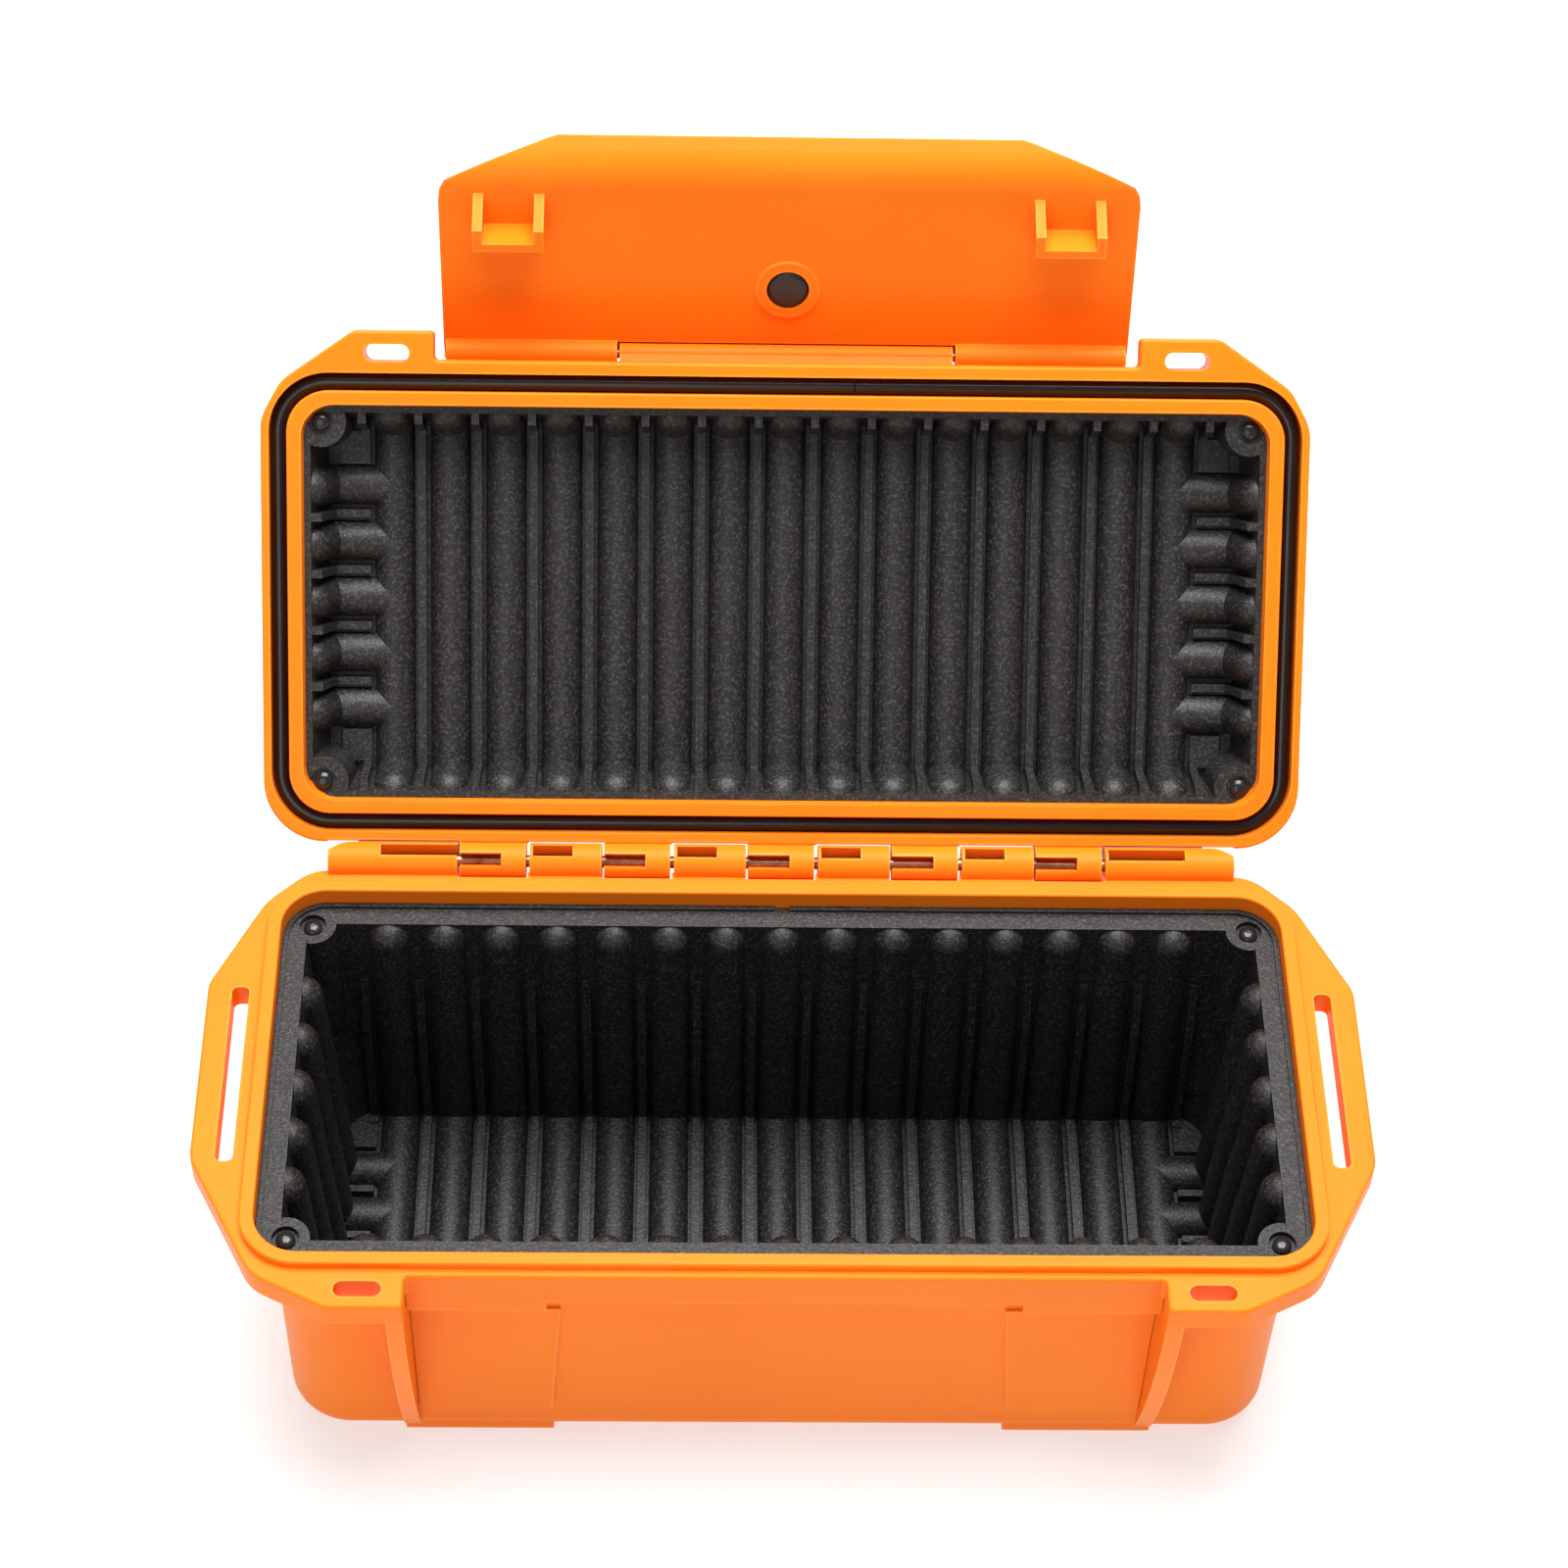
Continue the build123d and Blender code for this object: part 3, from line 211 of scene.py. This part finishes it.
def orange_plastic():
    """Satin moulded plastic: a fine spark-eroded grain, faint flow marks and paler, polished edges, their
    paleness partly wear and partly a painted highlight.
    """
    material, tree, shader = new_material("orange_moulded_plastic")
    cloud = noise(tree, 22, 4, 0.55)
    flow = noise(tree, 26, 3, 0.5, (0.25, 1, 1))
    grain = noise(tree, 1700, 3, 0.6)
    scuffs = noise(tree, 150, 5, 0.7, (0.3, 1, 1))
    colour = clouded(tree, cloud, ORANGE_DEEP, ORANGE_LIGHT)
    streaked = blend(tree, spread(tree, flow, 0.0, 0.35, 0.35, 0.75), colour, ORANGE_STREAK)
    # Edges painted paler: partly wear, partly a painted highlight.
    edge_share = edge_mask(tree, 0.9 * MM, spread(tree, scuffs, 0.15, 0.95, 0.3, 0.7))
    tree.links.new(blend(tree, edge_share, streaked, ORANGE_WORN_AND_HIGHLIT), shader.inputs["Base Color"])
    fine = spread(tree, grain, 0.30, 0.46)
    rubbed = math_node(tree, "MULTIPLY", edge_share, 0.08)
    marked = math_node(tree, "ADD", fine, spread(tree, scuffs, 0.0, 0.08, 0.45, 0.75))
    tree.links.new(math_node(tree, "SUBTRACT", marked, rubbed), shader.inputs["Roughness"])
    bump(tree, shader, [(grain, 0.14, 0.2 * MM), (flow, 0.06, 0.8 * MM)])
    shader.inputs["Subsurface Weight"].default_value = 0.06
    shader.inputs["Subsurface Radius"].default_value = (1.0, 0.3, 0.08)
    shader.inputs["Subsurface Scale"].default_value = 1.2 * MM
    shader.inputs["Specular IOR Level"].default_value = 0.15
    shader.inputs["Specular Tint"].default_value = (1.0, 0.86, 0.66, 1)
    return material


def pebbled_rubber(name, painted_shade):
    """Matt black liner rubber with a leather-like grain, grey scuffs and rubbed edges.

    The shade factor darkens every colour but the rubbed edges', and the shine with them; below 1 it is a
    painted shade.
    """

    def with_painted_shade(colour):
        return tuple(channel * painted_shade for channel in colour)

    material, tree, shader = new_material(name)
    cloud = noise(tree, 45, 4, 0.6)
    pebble = pebbles(tree, 1700)
    fine = noise(tree, 1500, 3, 0.75)
    scuffs = noise(tree, 240, 5, 0.7)
    colour = clouded(tree, cloud, with_painted_shade(LINER_DEEP), with_painted_shade(LINER_LIGHT))
    speckle = spread(tree, fine, 0.0, 0.85, 0.50, 0.66)
    dusty = blend(tree, spread(tree, scuffs, 0.0, 0.35, 0.5, 0.8), colour, with_painted_shade(LINER_DUST))
    edge_share = edge_mask(tree, 0.6 * MM, spread(tree, scuffs, 0.0, 0.6, 0.3, 0.7))
    speckled = blend(tree, speckle, dusty, with_painted_shade(LINER_SPECKLE))
    tree.links.new(blend(tree, edge_share, speckled, LINER_WORN), shader.inputs["Base Color"])
    tree.links.new(spread(tree, pebble, 0.34, 0.52, 0.0, 0.8), shader.inputs["Roughness"])
    bump(tree, shader, [(pebble, 0.25, 0.16 * MM), (fine, 0.60, 0.24 * MM)])
    shader.inputs["Specular IOR Level"].default_value = LINER_SPECULAR * painted_shade
    return material


def glossy_rubber(name, dark, light, rough, grain_scale):
    """Smooth near-black rubber or plastic: clouded colour, uneven gloss and a faint ripple."""
    material, tree, shader = new_material(name)
    cloud = noise(tree, 90, 4, 0.6)
    grain = noise(tree, grain_scale, 4, 0.65)
    colour = clouded(tree, cloud, dark, light)
    edge_share = edge_mask(tree, 0.4 * MM, spread(tree, grain, 0.0, 0.5, 0.3, 0.7))
    tree.links.new(blend(tree, edge_share, colour, GLOSSY_WORN), shader.inputs["Base Color"])
    tree.links.new(spread(tree, grain, *rough), shader.inputs["Roughness"])
    bump(tree, shader, [(grain, 0.08, 0.2 * MM)])
    return material


def drawn_steel():
    """Drawn wire, brownish all over, with lengthwise streaks and darker brown blotches."""
    material, tree, shader = new_material("drawn_steel")
    streak = noise(tree, 900, 4, 0.6, (0.05, 1, 1))
    bloom = noise(tree, 260, 5, 0.65)
    colour = clouded(tree, streak, STEEL_DEEP, STEEL_LIGHT)
    blotches = spread(tree, bloom, 0.0, 0.9, 0.35, 0.65)
    tree.links.new(blend(tree, blotches, colour, STEEL_BLOTCH), shader.inputs["Base Color"])
    tree.links.new(spread(tree, bloom, 0.22, 0.5), shader.inputs["Roughness"])
    bump(tree, shader, [(streak, 0.15, 0.1 * MM)])
    shader.inputs["Metallic"].default_value = 1.0
    return material


# ---------------------------------------------------------------- nodes from the CAD model
FLAT_ANGLE, SHARP_ANGLE = math.radians(0.6), math.radians(42)
EDGE_RADIUS, EDGE_SEGMENTS = 0.35 * MM, 2
SHELLS = ("base_shell", "lid_shell", "latch_flap")


def even_shading(obj):
    """Merges the facets of flat faces and weights the normals by area.

    The node's mesh is split along nearly all its sharp edges, so the bevel reaches only a few on lid_shell.
    """
    flats = obj.modifiers.new("merge_flats", "DECIMATE")
    flats.decimate_type, flats.angle_limit = "DISSOLVE", FLAT_ANGLE
    bevel = obj.modifiers.new("soft_edges", "BEVEL")
    bevel.width, bevel.segments = EDGE_RADIUS, EDGE_SEGMENTS
    bevel.limit_method, bevel.angle_limit = "ANGLE", SHARP_ANGLE
    bevel.use_clamp_overlap = True
    normals = obj.modifiers.new("weighted_normals", "WEIGHTED_NORMAL")
    normals.keep_sharp = True


def paint(name, material):
    obj = nodes[name]
    obj.data.materials.clear()
    obj.data.materials.append(material)


add_camera()
add_stage()
shell = orange_plastic()
# The base liner's colours and shine are scaled down to 0.8 against the lid liner's 1.0: a painted shade for
# the base's shaded interior.
base_liner = pebbled_rubber("base_liner_rubber_painted_shade", painted_shade=0.8)
lid_liner = pebbled_rubber("lid_liner_rubber", painted_shade=1.0)
# The seal's near-black colours are tinted warm: a painted reflection of the orange shell on the black
# rubber.
seal = glossy_rubber(
    "seal_cord_rubber",
    (0.0050, 0.0030, 0.0024),
    (0.0085, 0.0055, 0.0045),
    rough=(0.14, 0.30),
    grain_scale=900,
)
rivet = glossy_rubber(
    "rivet_plastic", (0.010, 0.010, 0.010), (0.018, 0.017, 0.017), rough=(0.12, 0.28), grain_scale=1400
)
plug = glossy_rubber(
    "plug_rubber", (0.006, 0.005, 0.0045), (0.014, 0.010, 0.009), rough=(0.30, 0.46), grain_scale=1800
)
steel = drawn_steel()
singles = {"base_liner": base_liner, "lid_liner": lid_liner, "lid_seal": seal, "latch_plug": plug}
for name, obj in nodes.items():
    if name in SHELLS:
        paint(name, shell)
        even_shading(obj)
    elif name in singles:
        paint(name, singles[name])
    elif "pin" in name:
        paint(name, steel)
    else:
        paint(name, rivet)
